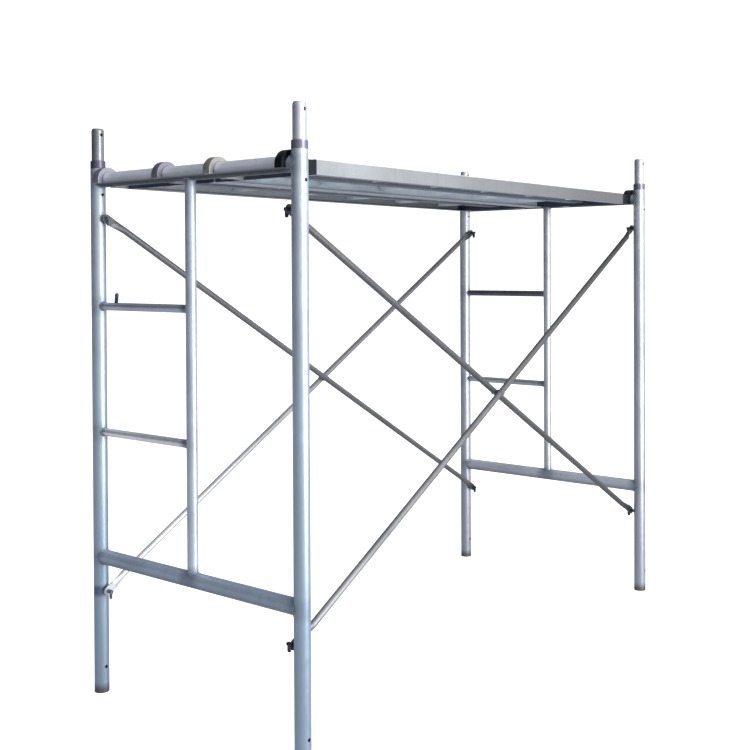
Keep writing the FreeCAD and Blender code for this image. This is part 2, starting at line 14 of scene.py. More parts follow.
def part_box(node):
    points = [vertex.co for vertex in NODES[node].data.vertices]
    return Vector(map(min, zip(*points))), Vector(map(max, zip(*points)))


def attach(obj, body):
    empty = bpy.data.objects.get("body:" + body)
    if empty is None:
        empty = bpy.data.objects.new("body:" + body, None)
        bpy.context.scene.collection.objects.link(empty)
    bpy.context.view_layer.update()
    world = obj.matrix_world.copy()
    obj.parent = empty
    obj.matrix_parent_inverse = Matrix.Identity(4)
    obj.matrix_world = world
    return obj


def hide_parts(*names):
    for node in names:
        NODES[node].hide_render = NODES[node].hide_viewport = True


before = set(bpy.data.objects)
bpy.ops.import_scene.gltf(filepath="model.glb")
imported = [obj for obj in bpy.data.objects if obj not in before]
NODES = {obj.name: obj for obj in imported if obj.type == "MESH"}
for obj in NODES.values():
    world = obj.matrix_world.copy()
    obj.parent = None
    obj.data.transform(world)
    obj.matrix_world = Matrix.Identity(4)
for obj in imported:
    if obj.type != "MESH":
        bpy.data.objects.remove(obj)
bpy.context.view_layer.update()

ROOT = "scaffold_frame"
SIDES = {"left": -1, "right": 1}
ROWS = {"near": -1, "far": 1}
X_AXIS = Vector((1, 0, 0))
Y_AXIS = Vector((0, 1, 0))
Z_AXIS = Vector((0, 0, 1))


# ---- Sizes read from the frame -------------------------------------------------------------------

def centre(node):
    low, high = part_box(node)
    return (Vector(low) + Vector(high)) / 2


def extent(node):
    low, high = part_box(node)
    return Vector(high) - Vector(low)


LEG_RADIUS = extent("left_near_leg").x / 2
POST_RADIUS = extent("left_inner_post").x / 2
RUNG_RADIUS = extent("left_lower_rung").x / 2
LEDGER_RADIUS = extent("left_top_ledger").x / 2
HALF_BAY = centre("right_near_leg").x
HALF_WIDTH = centre("left_far_leg").y
LEDGER_LEVELS = [centre("left_bottom_ledger").z, centre("left_top_ledger").z]
RUNG_LEVELS = [centre("left_lower_rung").z, centre("left_upper_rung").z]
STUD_RADIUS = 0.006
STUD_LEVELS = [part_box("left_near_brace_studs")[0].z + STUD_RADIUS,
               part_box("left_near_brace_studs")[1].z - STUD_RADIUS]


# ---- Node helpers ----------------------------------------------------------------------------------

NOISE_ROUGHNESS = 0.55


class Graph:
    """A short way to write shader nodes."""

    def __init__(self, name):
        self.material = bpy.data.materials.new(name)
        self.material.use_nodes = True
        self.tree = self.material.node_tree
        self.tree.nodes.clear()
        output = self.node("ShaderNodeOutputMaterial")
        self.shader = self.node("ShaderNodeBsdfPrincipled")
        self.link(self.shader.outputs["BSDF"], output.inputs["Surface"])

    def link(self, source, target):
        self.tree.links.new(source, target)

    def feed(self, socket, value):
        """Link a socket, or set its own value."""
        if isinstance(value, bpy.types.NodeSocket):
            self.link(value, socket)
        else:
            socket.default_value = value

    def node(self, kind, **settings):
        made = self.tree.nodes.new(kind)
        for name, value in settings.items():
            setattr(made, name, value)
        return made

    def place(self, scale=(1, 1, 1)):
        """Object coordinates, stretched by a scale on each axis."""
        coordinates = self.node("ShaderNodeTexCoord")
        mapping = self.node("ShaderNodeMapping")
        self.link(coordinates.outputs["Object"], mapping.inputs["Vector"])
        mapping.inputs["Scale"].default_value = scale
        return mapping.outputs["Vector"]

    def noise(self, scale, detail=4.0, stretch=(1, 1, 1)):
        texture = self.node("ShaderNodeTexNoise")
        self.link(self.place(stretch), texture.inputs["Vector"])
        texture.inputs["Scale"].default_value = scale
        texture.inputs["Detail"].default_value = detail
        texture.inputs["Roughness"].default_value = NOISE_ROUGHNESS
        return texture.outputs["Fac"]

    def cells(self, scale):
        """A random grey for each crystal of a zinc spangle."""
        texture = self.node("ShaderNodeTexVoronoi", feature="F1")
        self.link(self.place(), texture.inputs["Vector"])
        texture.inputs["Scale"].default_value = scale
        split = self.node("ShaderNodeSeparateColor")
        self.link(texture.outputs["Color"], split.inputs["Color"])
        return split.outputs["Red"]

    def axis(self, name):
        split = self.node("ShaderNodeSeparateXYZ")
        self.link(self.place(), split.inputs["Vector"])
        return split.outputs[name]

    def facing(self, name):
        """How far the surface faces along an axis of the frame."""
        split = self.node("ShaderNodeSeparateXYZ")
        self.link(self.node("ShaderNodeTexCoord").outputs["Normal"], split.inputs["Vector"])
        return split.outputs[name]

    def maths(self, operation, first, second=0.0, third=0.0):
        made = self.node("ShaderNodeMath", operation=operation)
        for socket, value in zip(made.inputs, (first, second, third)):
            self.feed(socket, value)
        return made.outputs["Value"]

    def remap(self, value, low, high, to_low=0.0, to_high=1.0):
        made = self.node("ShaderNodeMapRange", clamp=True)
        self.feed(made.inputs["Value"], value)
        numbers = {"From Min": low, "From Max": high, "To Min": to_low, "To Max": to_high}
        for name, number in numbers.items():
            made.inputs[name].default_value = number
        return made.outputs["Result"]

    def mix(self, factor, first, second, blend="MIX"):
        made = self.node("ShaderNodeMix", data_type="RGBA", blend_type=blend)
        self.feed(made.inputs["Factor"], factor)
        for socket, colour in (("A", first), ("B", second)):
            linked = isinstance(colour, bpy.types.NodeSocket)
            self.feed(made.inputs[socket], colour if linked else rgba(colour))
        return made.outputs["Result"]

    def ramp(self, value, low, high, stops):
        """Colours at places between low and high, blended from one to the next."""
        made = self.node("ShaderNodeValToRGB")
        self.link(self.remap(value, low, high), made.inputs["Fac"])
        elements = made.color_ramp.elements
        while len(elements) < len(stops):
            elements.new(0.5)
        for element, (place, colour) in zip(elements, stops):
            element.position = (place - low) / (high - low)
            element.color = rgba(colour)
        return made.outputs["Color"]

    def near(self, value, places, inner, outer, strength):
        """Strength within inner of one of the places, nothing beyond outer, with a ragged edge."""
        nearest = None
        for place in places:
            distance = self.maths("ABSOLUTE", self.maths("SUBTRACT", value, place))
            nearest = distance if nearest is None else self.maths("MINIMUM", nearest, distance)
        ragged = self.maths("MULTIPLY_ADD", self.noise(45.0), inner * 0.5, nearest)
        return self.remap(ragged, inner, outer, strength, 0.0)

    def bump(self, height, strength, distance):
        made = self.node("ShaderNodeBump")
        made.inputs["Strength"].default_value = strength
        made.inputs["Distance"].default_value = distance
        self.link(height, made.inputs["Height"])
        self.link(made.outputs["Normal"], self.shader.inputs["Normal"])


def rgba(colour):
    return (colour[0], colour[1], colour[2], 1.0)


def shade(colour, factor):
    return tuple(channel * factor for channel in colour)


DARK_CLOUD = 0.58        # share of a finish's base tone in its darkest clouds
LIGHT_CLOUD = 1.22       # and in its lightest


class Zinc:
    """Galvanised steel: cloudy tone, faint spangle, run marks, dark specks, then the finish's own marks and
    painted light and shade.
    """

    def __init__(self, name, base, metallic=0.8, roughness=(0.30, 0.46), spangle=0.14):
        self.graph = Graph(name)
        graph = self.graph
        dark = shade(base, DARK_CLOUD)
        light = shade(base, LIGHT_CLOUD)
        clouds = graph.noise(5.0, detail=5.0)
        tone = graph.mix(graph.remap(clouds, 0.32, 0.68), dark, light)
        tone = graph.mix(0.6, tone, base)
        crystals = graph.cells(75.0)
        tone = graph.mix(graph.maths("MULTIPLY", crystals, spangle), tone, light)
        runs = graph.noise(9.0, detail=6.0, stretch=(6, 6, 0.7))
        tone = graph.mix(graph.remap(runs, 0.58, 0.80, 0.0, 0.45), tone, dark)
        specks = graph.noise(150.0, detail=2.0)
        self.tone = graph.mix(graph.remap(specks, 0.66, 0.74, 0.0, 0.4), tone, dark)
        graph.shader.inputs["Metallic"].default_value = metallic
        worn = graph.maths("MULTIPLY_ADD", crystals, 0.35, graph.maths("MULTIPLY", clouds, 0.65))
        graph.feed(graph.shader.inputs["Roughness"], graph.remap(worn, 0.2, 0.8, *roughness))
        fine = graph.noise(220.0, detail=3.0)
        graph.bump(graph.maths("MULTIPLY_ADD", runs, 0.6, fine), 0.12, 0.0008)

    def cover(self, factor, colour):
        """Lay a colour over the tone where factor is high."""
        self.tone = self.graph.mix(factor, self.tone, colour)
        return self

    def around(self, axis, places, inner, outer, colour, strength):
        """Darken, dirty or colour the metal near some places along an axis; some finishes use it for
        painted shade.
        """
        graph = self.graph
        return self.cover(graph.near(graph.axis(axis), places, inner, outer, strength), colour)

    def tint(self, colours):
        """Multiply the tone by a colour that changes over the part."""
        self.tone = self.graph.mix(1.0, self.tone, colours, blend="MULTIPLY")
        return self

    def underside_light_and_shade(self, colour, strength):
        """Painted light and shade on the faces that look down: lay a colour over them."""
        return self.cover(self.graph.remap(self.graph.facing("Z"), -0.25, -0.75, 0.0, strength), colour)

    def done(self):
        self.graph.feed(self.graph.shader.inputs["Base Color"], self.tone)
        return self.graph.material


# ---- Finishes --------------------------------------------------------------------------------------

# Leg tones for each side are lit and shaded copies of one zinc: painted light; the low tone is painted
# shade towards the bottom.
LEG_ZINC_AS_LIT = {"left": (0.50, 0.565, 0.64), "right": (0.54, 0.555, 0.60)}
LOW_LEG_SHADED_ZINC = {"left": (0.30, 0.39, 0.49), "right": (0.37, 0.39, 0.44)}
# Ledger tones for each side are lit and shaded copies of one zinc: painted light.
LEDGER_ZINC_AS_LIT = {"left": (0.38, 0.46, 0.58), "right": (0.53, 0.56, 0.64)}
TOP_LEDGER_ZINC_AS_LIT = {"left": (0.80, 0.82, 0.92), "right": (0.55, 0.56, 0.62)}
# Lit and shaded copies of one zinc, one for each rung: painted light and shade.
RUNG_ZINC_AS_LIT = {
    "left_lower": (0.95, 0.95, 1.0),
    "left_upper": (0.52, 0.55, 0.62),
    "right_lower": (0.50, 0.51, 0.56),
    "right_upper": (0.12, 0.125, 0.135),
}
PIN_ZINC = (0.50, 0.51, 0.56)
SHADED_PIN = 0.55          # painted shade: share of PIN_ZINC on the far left pin
LIT_PIN = 1.25        # painted light: share of PIN_ZINC on the other three
DECK_ZINC = (0.32, 0.335, 0.35)
# Painted shade on the planks towards the right end, and painted light on their faces that look down.
DECK_RIGHT_SHADE = (0.125, 0.125, 0.13)
DECK_UNDERSIDE_LIGHT = (0.34, 0.37, 0.42)
DECK_ROUGHNESS = (0.42, 0.6)
TREAD_ZINC = (0.55, 0.57, 0.60)
# Painted light on the tread sheet's faces that look down.
TREAD_UNDERSIDE_LIGHT = (0.80, 0.85, 0.92)
HOOK_ZINC = (0.30, 0.32, 0.36)
RIVET_ZINC = (0.34, 0.36, 0.40)
WELD_METAL = (0.22, 0.25, 0.30)
DARK_STEEL = (0.055, 0.06, 0.075)
SLATE_STEEL = (0.16, 0.19, 0.25)
SLATE = (0.075, 0.09, 0.125)
NEAR_BLACK = (0.022, 0.025, 0.035)
WELD_SHADE = (0.12, 0.15, 0.22)
RUST = (0.16, 0.10, 0.07)

# Marks on the metal: full within the first distance of a place, gone at the second, colour, strength.
LEG_WELD = (0.024, 0.045, WELD_SHADE, 0.25)
POST_WELD = (0.026, 0.055, WELD_SHADE, 0.7)
RUNG_WELD = (0.030, 0.055, WELD_SHADE, 0.8)
LEDGER_WELD = (0.026, 0.055, WELD_SHADE, 0.6)
STUD_MARK = (0.012, 0.026, (0.07, 0.11, 0.19), 0.8)
FOOT_DARKENING = (0.018, 0.040, (0.10, 0.10, 0.12), 0.85)
FOOT_RUST = (0.004, 0.014, RUST, 0.7)
# Painted shade: the brace ends darker.
BRACE_END_SHADE = (0.035, 0.070, DARK_STEEL, 0.85)
COLLAR_MARK = (0.014, 0.020, (0.09, 0.08, 0.13), 0.8)
# Painted shade on the end caps by the outer hooks.
CAP_SHADE = (0.05, 0.09, NEAR_BLACK, 1.0)

LEG_FADE = (0.2, 1.7)    # heights over which the painted shade low on a leg gives way to its high tone
DECK_FADE = (-0.9, 0.7)  # places along the bay over which painted shade darkens the plank steel
OUTER_HOOK_PLACE = 0.41  # from the middle of the frame
COLLAR_MIDDLE = 0.0125   # above the leg


def paint(node, material):
    """Give a CAD node a finish."""
    mesh = NODES[node].data
    mesh.materials.clear()
    mesh.materials.append(material)


def leg_finish(side, row):
    levels = LEDGER_LEVELS + (RUNG_LEVELS if row == "far" else [])
    finish = Zinc("zinc_%s_%s_leg" % (side, row), LEG_ZINC_AS_LIT[side])
    graph = finish.graph
    # Painted shade: the leg darker towards the bottom.
    finish.cover(graph.remap(graph.axis("Z"), *LEG_FADE, 0.95, 0.0), LOW_LEG_SHADED_ZINC[side])
    finish.around("Z", levels, *LEG_WELD)
    if (side, row) == ("left", "far"):
        # Painted shade on the faces of the far left leg that look towards the right end.
        finish.cover(graph.remap(graph.facing("X"), 0.1, 0.8, 0.0, 0.45), shade(LOW_LEG_SHADED_ZINC[side], 0.5))
        finish.around("Z", [STUD_LEVELS[0]], *STUD_MARK)
    # The leg darker at its foot.
    finish.around("Z", [0.0], *FOOT_DARKENING)
    finish.around("Z", [0.0], *FOOT_RUST)
    return finish.done()


def frame_finishes():
    """Galvanised tubes of the two end frames, a shade darker where they are welded, with painted light and
    shade: lit and shaded copies of each tone for the two sides, legs darker towards the bottom, ledgers
    darker underneath.
    """
    for side in SIDES:
        for row in ROWS:
            paint("%s_%s_leg" % (side, row), leg_finish(side, row))
        post = Zinc("zinc_%s_post" % side, LEG_ZINC_AS_LIT[side])
        post.around("Z", LEDGER_LEVELS, *POST_WELD)
        paint("%s_inner_post" % side, post.done())
        for level in ("lower", "upper"):
            rung = Zinc("zinc_%s_%s_rung" % (side, level), RUNG_ZINC_AS_LIT["%s_%s" % (side, level)])
            rung.around("Y", [0.0, HALF_WIDTH], *RUNG_WELD)
            paint("%s_%s_rung" % (side, level), rung.done())
        ends = [-HALF_WIDTH, HALF_WIDTH]
        for level, tone, under, joints in (("bottom", LEDGER_ZINC_AS_LIT[side], 0.50, ends + [0.0]),
                                           ("top", TOP_LEDGER_ZINC_AS_LIT[side], 0.10, ends)):
            ledger = Zinc("zinc_%s_%s_ledger" % (side, level), tone, metallic=0.35)
            # Painted shade on the faces of the ledger that look down.
            painted_underside_shade = ledger.graph.remap(ledger.graph.facing("Z"), 0.2, -0.6)
            ledger.cover(painted_underside_shade, shade(LEDGER_ZINC_AS_LIT[side], under))
            ledger.around("Y", joints, *LEDGER_WELD)
            paint("%s_%s_ledger" % (side, level), ledger.done())


# Each brace, painted light and shade along it: brightest tone, then its share of that at the left end, in
# the middle and at the right end.
BRACE_TONES_AS_LIT = {
    "near_rising": (0.26, 1.0, 0.62, 0.13),
    "near_falling": (0.145, 1.0, 0.76, 0.66),
    "far_rising": (0.70, 1.0, 0.44, 0.17),
    "far_falling": (0.18, 1.0, 0.82, 0.80),
}
BRACE_BLUE = 1.04        # the blue of a brace against its red and green


def brace_finishes():
    for name, (brightest, *shares) in BRACE_TONES_AS_LIT.items():
        base = (brightest, brightest, brightest * BRACE_BLUE)
        finish = Zinc("zinc_%s_brace" % name, base, metallic=0.6, spangle=0.06)
        graph = finish.graph
        stops = [(x, (share, share, share)) for x, share in zip((-HALF_BAY, 0.0, HALF_BAY), shares)]
        # Painted light and shade along the brace.
        finish.tint(graph.ramp(graph.axis("X"), -HALF_BAY, HALF_BAY, stops))
        # Painted shade at the brace ends.
        ends = [HALF_BAY] if name.startswith("far") else [-HALF_BAY, HALF_BAY]
        finish.around("X", ends, *BRACE_END_SHADE)
        paint("%s_brace" % name, finish.done())


def deck_finish():
    """Plank steel, with painted shade towards the right end and painted light on the faces that look down.
    """
    finish = Zinc("zinc_deck", DECK_ZINC, metallic=0.45, roughness=DECK_ROUGHNESS)
    graph = finish.graph
    # Painted shade towards the right end.
    finish.cover(graph.remap(graph.axis("X"), *DECK_FADE, 0.0, 0.9), DECK_RIGHT_SHADE)
    # Painted light on the faces that look down.
    finish.underside_light_and_shade(DECK_UNDERSIDE_LIGHT, 0.9)
    return finish.done()


# Places across the frame, each with the tone of the hooks there: lit and shaded copies of one steel,
# painted light and shade.
HOOK_TONES_AS_LIT = [
    (-0.40, (0.008, 0.012, 0.016)),
    (-0.11, (0.46, 0.46, 0.42)),
    (0.12, (0.30, 0.28, 0.34)),
    (0.41, (0.36, 0.35, 0.42)),
]


def hook_finish():
    finish = Zinc("zinc_hooks", HOOK_ZINC, metallic=0.85)
    graph = finish.graph
    # Painted light and shade: each hook takes the tone for its place.
    finish.cover(0.97, graph.ramp(graph.axis("Y"), -HALF_WIDTH, HALF_WIDTH, HOOK_TONES_AS_LIT))
    return finish.done()


# Parts under the deck sheets: tone, tone of the faces that look down, metallic. Both tones are painted
# light and shade.
UNDER_DECK = {
    "inside": ((0.46, 0.50, 0.53), (0.30, 0.33, 0.38), 0.45),
    "crossbar": ((0.88, 0.92, 0.98), (0.60, 0.65, 0.72), 0.3),
    "rib": ((0.13, 0.14, 0.17), (0.05, 0.06, 0.08), 0.5),
}


def under_deck_finish(part):
    tone, underside, metallic = UNDER_DECK[part]
    return Zinc("zinc_" + part, tone, metallic=metallic).underside_light_and_shade(underside, 0.9).done()


def cap_finish():
    finish = Zinc("dark_end_cap", SLATE, metallic=1.0, spangle=0.05)
    # Painted shade by the outer hook.
    return finish.around("Y", [-OUTER_HOOK_PLACE], *CAP_SHADE).done()


def other_finishes():
    """Finishes of everything but the end frames' tubes, picked by the words in a node's name."""
    brace_finishes()
    deck = deck_finish()
    hooks = hook_finish()
    inside = under_deck_finish("inside")
    crossbar = under_deck_finish("crossbar")
    rib = under_deck_finish("rib")
    cap = cap_finish()
    dark = Zinc("dark_steel", DARK_STEEL, metallic=0.6, spangle=0.05).done()
    slate = Zinc("slate_steel", SLATE_STEEL, metallic=0.6, spangle=0.05).done()
    for name in NODES:
        if "pivot" in name:
            paint(name, slate)
        elif "coupling" in name:
            paint(name, pin_finish(name))
        # Painted light: the far left drop lock and studs take the slate steel, a lighter copy of the dark
        # steel elsewhere.
        elif "left_far" in name and ("drop_lock" in name or "stud" in name):
            paint(name, slate)
        elif "drop_lock" in name or "stud" in name or "peg" in name:
            paint(name, dark)
        elif "hooks" in name:
            paint(name, hooks)
        elif "end_cap" in name:
            paint(name, cap)
        elif "crossbar" in name:
            paint(name, crossbar)
        elif "rib" in name:
            paint(name, rib)
        elif "inner_rail" in name:
            paint(name, inside)
        elif "plank" in name:
            paint(name, deck)


def pin_finish(name):
    # Painted shade on the far left pin, painted light on the others.
    tone = SHADED_PIN if name.startswith("left_far") else LIT_PIN
    finish = Zinc("zinc_" + name, shade(PIN_ZINC, tone))
    collar_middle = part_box(name.replace("coupling_pin", "leg"))[1].z + COLLAR_MIDDLE
    finish.around("Z", [collar_middle], *COLLAR_MARK)
    return finish.done()


# ---- Pieces ----------------------------------------------------------------------------------------

SHARP_BEND = math.radians(40)
MERGE_DISTANCE = 1e-5


def add_piece(name, shape, material, body, crease=SHARP_BEND):
    """Turn a shape into an object that rides on a CAD body. Edges that bend more than crease stay sharp."""
    mesh = bpy.data.meshes.new(name)
    bmesh.ops.recalc_face_normals(shape, faces=shape.faces)
    shape.to_mesh(mesh)
    shape.free()
    mesh.shade_smooth()
    mesh.set_sharp_from_angle(angle=crease)
    mesh.materials.append(material)
    piece = bpy.data.objects.new(name, mesh)
    bpy.context.collection.objects.link(piece)
    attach(piece, body)
    return piece


BEAD_RADIUS = 0.0028
BEAD_SIDES = 8
BEAD_STEPS = 96
RIPPLE_STEPS = 4         # one ripple of the weld takes this many steps
RIPPLE_HEIGHT = 0.14     # as a share of the bead's radius


def add_tube(shape, points, normals, closed):
    """Sweep a round bead along points, with a ripple along it."""
    rings = []
    count = len(points)
    for index, (point, normal) in enumerate(zip(points, normals)):
        if closed:
            tangent = points[(index + 1) % count] - points[index - 1]
        else:
            tangent = points[min(index + 1, count - 1)] - points[max(index - 1, 0)]
        tangent.normalize()
        outward = (normal - tangent * normal.dot(tangent)).normalized()
        sideways = tangent.cross(outward)
        ripple = 1 + RIPPLE_HEIGHT * math.cos(2 * math.pi * index / RIPPLE_STEPS)
        ring = []
        for corner in range(BEAD_SIDES):
            turn = 2 * math.pi * corner / BEAD_SIDES
            spoke = outward * math.cos(turn) + sideways * math.sin(turn)
            ring.append(shape.verts.new(point + spoke * BEAD_RADIUS * ripple))
        rings.append(ring)
    for index in range(count if closed else count - 1):
        here, there = rings[index], rings[(index + 1) % count]
        for corner in range(BEAD_SIDES):
            after = (corner + 1) % BEAD_SIDES
            shape.faces.new((here[corner], there[corner], there[after], here[after]))
    if not closed:
        shape.faces.new(rings[0])
        shape.faces.new(list(reversed(rings[-1])))


def add_saddle_bead(shape, crossing, branch, main, branch_radius, main_radius):
    """Bead round the line where a branch tube runs into a main tube. The two directions are square."""
    side = branch.cross(main)
    points = []
    normals = []
    for step in range(BEAD_STEPS):
        turn = 2 * math.pi * step / BEAD_STEPS
        outward = side * math.cos(turn) + main * math.sin(turn)
        across = branch_radius * math.cos(turn)
        depth = math.sqrt(max(main_radius ** 2 - across ** 2, 0.0))
        points.append(crossing + outward * branch_radius + branch * depth)
        normals.append(outward)
    add_tube(shape, points, normals, closed=True)


def make_frame_welds(side, material):
    """Beads where ledgers, post, rungs and brace studs join the tubes of one end frame."""
    shape = bmesh.new()
    x = SIDES[side] * HALF_BAY
    for sign in ROWS.values():
        for levels, radius in ((LEDGER_LEVELS, LEDGER_RADIUS), (STUD_LEVELS, STUD_RADIUS)):
            for level in levels:
                on_leg = Vector((x, sign * HALF_WIDTH, level))
                add_saddle_bead(shape, on_leg, -sign * Y_AXIS, Z_AXIS, radius, LEG_RADIUS)
    post_y = centre("%s_inner_post" % side).y
    for level, up in zip(LEDGER_LEVELS, (Z_AXIS, -Z_AXIS)):
        on_ledger = Vector((x, post_y, level))
        add_saddle_bead(shape, on_ledger, up, Y_AXIS, POST_RADIUS, LEDGER_RADIUS)
    for level in RUNG_LEVELS:
        on_leg = Vector((x, HALF_WIDTH, level))
        on_post = Vector((x, post_y, level))
        add_saddle_bead(shape, on_leg, -Y_AXIS, Z_AXIS, RUNG_RADIUS, LEG_RADIUS)
        add_saddle_bead(shape, on_post, Y_AXIS, Z_AXIS, RUNG_RADIUS, POST_RADIUS)
    add_piece("%s_frame_weld_beads" % side, shape, material, ROOT)


INNER_HOOK_FACE = 0.131  # outboard face of the inner hooks, from the middle of the frame
HOOK_WEB = 0.008         # thickness of a hook's web


def make_plank_welds(row, material):
    """Upright beads where each hook's web is welded to the plank's end cap."""
    shape = bmesh.new()
    sign = ROWS[row]
    hooks_low, hooks_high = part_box("%s_plank_hooks" % row)
    cap_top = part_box("%s_plank_left_end_cap" % row)[1].z
    outer_hook_face = max(abs(hooks_low.y), abs(hooks_high.y))
    seams = [outer_hook_face - HOOK_WEB, INNER_HOOK_FACE - HOOK_WEB, INNER_HOOK_FACE]
    bottom = hooks_low.z + BEAD_RADIUS
    top = cap_top - 2 * BEAD_RADIUS
    heights = [bottom + (top - bottom) * step / BEAD_STEPS for step in range(BEAD_STEPS + 1)]
    for side in SIDES:
        cap_low, cap_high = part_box("%s_plank_%s_end_cap" % (row, side))
        x = cap_low.x if side == "left" else cap_high.x
        for seam in seams:
            points = [Vector((x, sign * seam, height)) for height in heights]
            add_tube(shape, points, [X_AXIS] * len(points), closed=False)
    add_piece("%s_plank_weld_beads" % row, shape, material, "%s_plank" % row)


TREAD_PITCH = 0.05
TREAD_LONG = 0.016       # half length of a pressed lozenge
TREAD_SHORT = 0.0055     # half width of a pressed lozenge
TREAD_HEIGHT = 0.0016
CROWN_LONG = 0.72        # the top of a lozenge, as shares of its length and width
CROWN_SHORT = 0.45
TREAD_STEPS = 16
TREAD_CREASE = math.radians(12)
RIVET_RADIUS = 0.0065
RIVET_HEIGHT = 0.0018
RIVET_RINGS = 4
RIVET_EVERY = 6          # squares of tread from one rivet to the next
RIVET_OFFSET = 0.45      # share of the way from the middle of its square to the plank's edge


def tread_rings(middle, half_x, half_y, turned):
    """Rings of one square of tread, from its edge to the top of its lozenge."""
    square = []
    outline = []
    crown = []
    tilt = math.radians(45 if turned else -45)
    along = Vector((math.cos(tilt), math.sin(tilt), 0))
    across = Vector((-math.sin(tilt), math.cos(tilt), 0))
    for step in range(TREAD_STEPS):
        turn = 2 * math.pi * step / TREAD_STEPS
        reach = 1 / max(abs(math.cos(turn)), abs(math.sin(turn)))
        edge = Vector((half_x * reach * math.cos(turn), half_y * reach * math.sin(turn), 0))
        square.append(middle + edge)
        long_part = along * TREAD_LONG * math.cos(turn - tilt)
        short_part = across * TREAD_SHORT * math.sin(turn - tilt)
        outline.append(middle + long_part + short_part)
        crown.append(middle + long_part * CROWN_LONG + short_part * CROWN_SHORT + Z_AXIS * TREAD_HEIGHT)
    return square, outline, crown


def add_tread_cell(shape, middle, half_x, half_y, turned, pressed):
    """One square of the sheet, flat or with a lozenge pressed up in it."""
    rings = tread_rings(middle, half_x, half_y, turned)
    if not pressed:
        rings = rings[:1]
    rings = [[shape.verts.new(point) for point in ring] for ring in rings]
    for outer, inner in zip(rings, rings[1:]):
        for step in range(TREAD_STEPS):
            after = (step + 1) % TREAD_STEPS
            shape.faces.new((outer[step], outer[after], inner[after], inner[step]))
    shape.faces.new(rings[-1])


def add_rivet(shape, foot):
    """Low round head of a rivet."""
    underside_light_and_shade = None
    for ring_number in range(RIVET_RINGS):
        rise = math.pi / 2 * ring_number / RIVET_RINGS
        out = RIVET_RADIUS * math.cos(rise)
        up = RIVET_HEIGHT * math.sin(rise)
        ring = []
        for step in range(TREAD_STEPS):
            turn = 2 * math.pi * step / TREAD_STEPS
            offset = Vector((out * math.cos(turn), out * math.sin(turn), up))
            ring.append(shape.verts.new(foot + offset))
        if underside_light_and_shade is None:
            shape.faces.new(list(reversed(ring)))
        else:
            for step in range(TREAD_STEPS):
                after = (step + 1) % TREAD_STEPS
                shape.faces.new((underside_light_and_shade[step], underside_light_and_shade[after], ring[after], ring[step]))
        underside_light_and_shade = ring
    shape.faces.new(underside_light_and_shade)


def make_tread(row, sheet_finish, rivet_finish):
    """A plank's top sheet with pressed lozenges inside a flat border, and the rivets that hold it."""
    node = "%s_plank_deck_sheet" % row
    low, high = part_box(node)
    columns = round((high.x - low.x) / TREAD_PITCH)
    lanes = round((high.y - low.y) / TREAD_PITCH)
    half_x = (high.x - low.x) / columns / 2
    half_y = (high.y - low.y) / lanes / 2
    sheet = bmesh.new()
    rivets = bmesh.new()
    for column in range(columns):
        for lane in range(lanes):
            middle = Vector((low.x + half_x * (2 * column + 1), low.y + half_y * (2 * lane + 1), high.z))
            at_side = lane in (0, lanes - 1)
            at_end = column in (0, columns - 1)
            turned = (column + lane) % 2 == 0
            pressed = not (at_side or at_end)
            add_tread_cell(sheet, middle, half_x, half_y, turned, pressed)
            if at_side and column % RIVET_EVERY == RIVET_EVERY // 2:
                towards_edge = -1 if lane == 0 else 1
                add_rivet(rivets, middle + Y_AXIS * towards_edge * half_y * RIVET_OFFSET)
    bmesh.ops.remove_doubles(sheet, verts=sheet.verts, dist=MERGE_DISTANCE)
    bmesh.ops.recalc_face_normals(sheet, faces=sheet.faces)
    bmesh.ops.solidify(sheet, geom=sheet.faces[:], thickness=high.z - low.z)
    body = "%s_plank" % row
    piece = add_piece("%s_plank_tread_sheet" % row, sheet, sheet_finish, body, TREAD_CREASE)
    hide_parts(node)
    add_piece("%s_plank_rivets" % row, rivets, rivet_finish, body)


HOOK_EDGE = 0.0015
RAIL_EDGE = 0.0008
CAP_EDGE = 0.0006


def close_seams(piece):
    """Join the corners that neighbouring faces of a CAD part share."""
    weld = piece.modifiers.new("weld", "WELD")
    weld.merge_threshold = MERGE_DISTANCE


def soften(node, width):
    """Round the sharp edges of a folded or forged CAD part a little."""
    piece = NODES[node]
    close_seams(piece)
    bevel = piece.modifiers.new("bevel", "BEVEL")
    bevel.width = width
    bevel.segments = 2
    bevel.limit_method = "ANGLE"
    bevel.angle_limit = SHARP_BEND
    bevel.harden_normals = True


def refine_cad_parts():
    """Soften the planks' edges, and join up the rung peg."""
    close_seams(NODES["left_rung_peg"])
    for row in ROWS:
        soften("%s_plank_hooks" % row, HOOK_EDGE)
        for part in ("outer_rail", "inner_rail", "rib"):
            soften("%s_plank_%s" % (row, part), RAIL_EDGE)
        for side in SIDES:
            soften("%s_plank_%s_end_cap" % (row, side), CAP_EDGE)


def weld_finish():
    finish = Zinc("weld_metal", WELD_METAL, metallic=0.55, spangle=0.05)
    graph = finish.graph
    return finish.cover(graph.remap(graph.noise(60.0), 0.58, 0.72, 0.0, 0.6), RUST).done()


def make_pieces():
    weld = weld_finish()
    tread = Zinc("zinc_tread", TREAD_ZINC, metallic=0.45, roughness=DECK_ROUGHNESS)
    # Painted light on the tread sheet's faces that look down.
    tread = tread.underside_light_and_shade(TREAD_UNDERSIDE_LIGHT, 0.95).done()
    rivet = Zinc("zinc_rivet", RIVET_ZINC, metallic=0.6, spangle=0.05).done()
    for side in SIDES:
        make_frame_welds(side, weld)
    for row in ROWS:
        make_plank_welds(row, weld)
        make_tread(row, tread, rivet)


# ---- Studio ----------------------------------------------------------------------------------------

